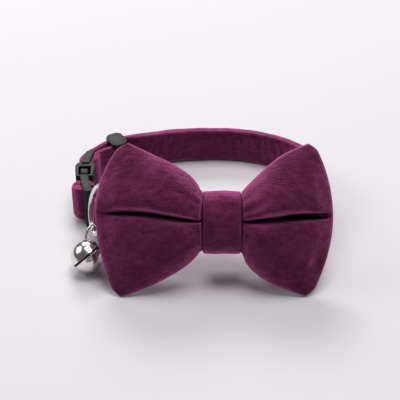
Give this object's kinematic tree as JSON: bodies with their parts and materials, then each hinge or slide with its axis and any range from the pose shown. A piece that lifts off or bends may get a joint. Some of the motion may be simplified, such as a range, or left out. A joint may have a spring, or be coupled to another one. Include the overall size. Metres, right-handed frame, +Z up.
{
  "type": "pet bow tie collar",
  "caption": "Closed velvet pet collar with a padded bow and knot, a side-release buckle, a slide adjuster, a D-ring and a jingle bell, lying flat as an oval loop",
  "frame": {"origin": "middle of the collar's plan, on the surface it lies on", "axes": "+X to the right along the bow, -Y toward the front with the bow, +Z up"},
  "size_m": [0.11, 0.0994, 0.0486],
  "materials": {
    "strap_velvet": "plum velvet, short pile",
    "bow_velvet": "plum velvet, short pile",
    "black_plastic": "fine satin moulding",
    "bright_metal": "polished nickel plate"
  },
  "bodies": {
    "root": {"strap": "strap_velvet", "bow": "bow_velvet", "knot": "bow_velvet", "d_ring_keeper": "strap_velvet", "buckle_female": "black_plastic", "buckle_male": "black_plastic", "slider": "black_plastic", "d_ring": "bright_metal", "jump_ring": "bright_metal", "bell": "bright_metal"}
  },
  "joints": []
}
